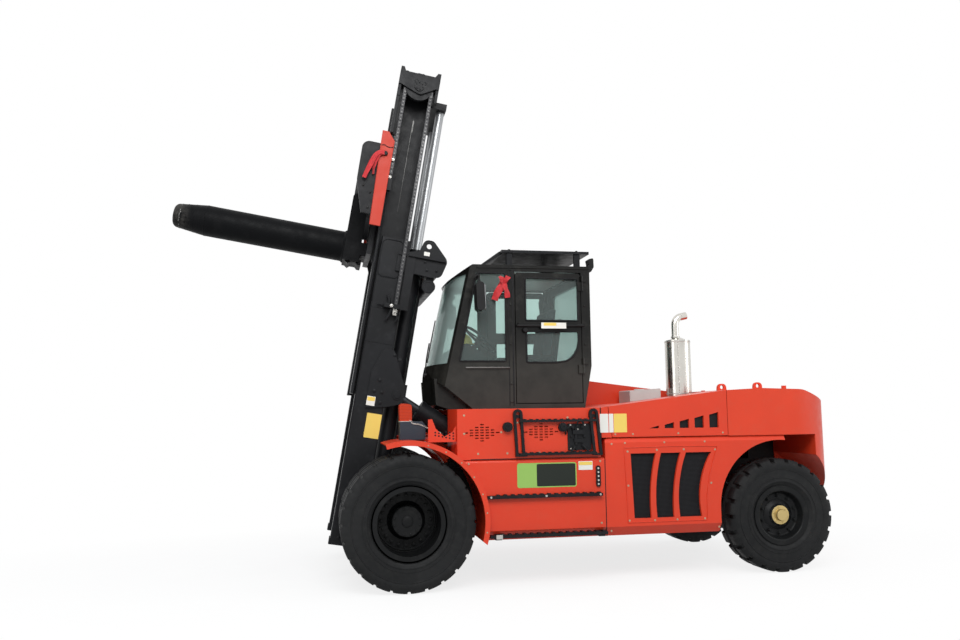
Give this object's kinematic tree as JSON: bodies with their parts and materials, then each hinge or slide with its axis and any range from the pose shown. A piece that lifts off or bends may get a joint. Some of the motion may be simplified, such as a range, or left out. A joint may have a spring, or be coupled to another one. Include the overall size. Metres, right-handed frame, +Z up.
{
  "type": "diesel coil-ram lift truck",
  "caption": "Large diesel counterbalance lift truck with a two-stage mast, a coil ram in place of forks, a glazed cab and steered rear wheels.",
  "frame": {"origin": "ground point under the middle of the whole truck at rest", "axes": "+X forward along the ram, +Y to the driver's left, +Z up"},
  "size_m": [6.7736, 2.541, 5.1907],
  "materials": {
    "red_paint": "gloss",
    "dark_paint": "satin",
    "post_paint": "satin",
    "cast_block": "gloss",
    "tyre_rubber": "matte",
    "glass": "clear",
    "bright_steel": "polished",
    "chain_steel": "satin",
    "amber_plastic": "clear",
    "dark_plastic": "matte",
    "seat_cloth": "matte",
    "grey_paint": "satin"
  },
  "bodies": {
    "truck": {"chassis_frame": "dark_paint", "front_axle": "dark_paint", "steer_axle": "dark_paint", "engine_block": "grey_paint", "counterweight": "cast_block", "engine_hood": "red_paint", "side_panels": "red_paint", "side_grilles": "dark_paint", "side_boxes": "red_paint", "side_tanks": "red_paint", "front_fenders": "red_paint", "side_steps": "dark_paint", "boarding_frame": "dark_paint", "control_valve": "dark_paint", "lamp_posts": "post_paint", "turn_lamps": "amber_plastic", "exhaust_muffler": "bright_steel", "air_box": "grey_paint", "cab_shell": "dark_paint", "cab_roof": "dark_paint", "roof_guard": "dark_paint", "cab_glass": "glass", "seat_frame": "dark_plastic", "seat_pads": "seat_cloth", "dash_console": "dark_plastic", "steering_wheel": "dark_plastic", "mirrors": "dark_plastic", "work_lamps": "dark_plastic"},
    "front_wheels_left": {"front_tyres_left": "tyre_rubber", "front_rims_left": "dark_paint"},
    "front_wheels_right": {"front_tyres_right": "tyre_rubber", "front_rims_right": "dark_paint"},
    "steer_knuckle_left": {"knuckle_left": "dark_paint"},
    "steer_knuckle_right": {"knuckle_right": "dark_paint"},
    "rear_wheel_left": {"rear_tyre_left": "tyre_rubber", "rear_rim_left": "dark_paint"},
    "rear_wheel_right": {"rear_tyre_right": "tyre_rubber", "rear_rim_right": "dark_paint"},
    "mast": {"outer_mast": "dark_paint", "lift_cylinders": "dark_paint"},
    "mast_stage": {"inner_mast": "dark_paint", "lift_rods": "bright_steel", "chain_sheaves": "chain_steel", "lift_chains": "chain_steel"},
    "carriage": {"carriage": "dark_paint", "side_guards": "red_paint", "coil_ram": "dark_paint"},
    "tilt_barrels": {"tilt_barrels": "dark_paint"},
    "tilt_rods": {"tilt_rods": "bright_steel"},
    "door_left": {"cab_door_left": "dark_paint", "door_glass_left": "glass"},
    "door_right": {"cab_door_right": "dark_paint", "door_glass_right": "glass"},
    "lid_left": {"hood_lid_left": "red_paint"},
    "lid_right": {"hood_lid_right": "red_paint"}
  },
  "joints": [
    {"name": "front_wheel_left_spin", "type": "hinge", "parent": "truck", "child": "front_wheels_left", "pos_m": [1.06316, 0.93, 0.62], "axis": [0, 1, 0], "continuous": true},
    {"name": "front_wheel_right_spin", "type": "hinge", "parent": "truck", "child": "front_wheels_right", "pos_m": [1.06316, -0.93, 0.62], "axis": [0, 1, 0], "continuous": true},
    {"name": "steer_left", "type": "hinge", "parent": "truck", "child": "steer_knuckle_left", "pos_m": [-2.68684, 0.79, 0.56], "axis": [0, 0, 1], "range_deg": [-50, 50]},
    {"name": "steer_right", "type": "hinge", "parent": "truck", "child": "steer_knuckle_right", "pos_m": [-2.68684, -0.79, 0.56], "axis": [0, 0, 1], "range_deg": [-50, 50]},
    {"name": "rear_wheel_left_spin", "type": "hinge", "parent": "steer_knuckle_left", "child": "rear_wheel_left", "pos_m": [-2.68684, 1, 0.56], "axis": [0, 1, 0], "continuous": true},
    {"name": "rear_wheel_right_spin", "type": "hinge", "parent": "steer_knuckle_right", "child": "rear_wheel_right", "pos_m": [-2.68684, -1, 0.56], "axis": [0, 1, 0], "continuous": true},
    {"name": "mast_tilt", "type": "hinge", "parent": "truck", "child": "mast", "pos_m": [1.28316, 0, 0.6], "axis": [0, 1, 0], "range_deg": [0, 16]},
    {"name": "tilt_barrel_swing", "type": "hinge", "parent": "truck", "child": "tilt_barrels", "pos_m": [0.31316, 0, 1.27], "axis": [0, 1, 0], "range_deg": [0, 8.7]},
    {"name": "tilt_rod_stroke", "type": "slide", "parent": "tilt_barrels", "child": "tilt_rods", "axis": [0.8344, 0, 0.5512], "range_m": [0, 0.2971]},
    {"name": "mast_lift", "type": "slide", "parent": "mast", "child": "mast_stage", "axis": [-0.165, 0, 0.9863], "range_m": [-1.4, 0.3]},
    {"name": "carriage_lift", "type": "slide", "parent": "mast_stage", "child": "carriage", "axis": [-0.165, 0, 0.9863], "range_m": [-1.4, 0.3], "deforming": ["lift_chains"]},
    {"name": "door_left_swing", "type": "hinge", "parent": "truck", "child": "door_left", "pos_m": [-0.77584, 0.77, 2.4], "axis": [0, 0, 1], "range_deg": [0, 90]},
    {"name": "door_right_swing", "type": "hinge", "parent": "truck", "child": "door_right", "pos_m": [-0.77584, -0.77, 2.4], "axis": [0, 0, -1], "range_deg": [0, 90]},
    {"name": "lid_left_lift", "type": "hinge", "parent": "truck", "child": "lid_left", "pos_m": [-0.79884, 0.785, 1.652], "axis": [0.9927, 0, -0.1205], "range_deg": [0, 60]},
    {"name": "lid_right_lift", "type": "hinge", "parent": "truck", "child": "lid_right", "pos_m": [-0.79884, -0.785, 1.652], "axis": [-0.9927, 0, 0.1205], "range_deg": [0, 60]}
  ],
  "couplings": [
    {"joint": "steer_right", "follows": "steer_left", "ratio": 1},
    {"joint": "tilt_barrel_swing", "follows": "mast_tilt", "ratio": 0.5312},
    {"joint": "tilt_rod_stroke", "follows": "mast_tilt", "m_per_rad": 1.0569},
    {"joint": "carriage_lift", "follows": "mast_lift", "ratio": 1}
  ]
}
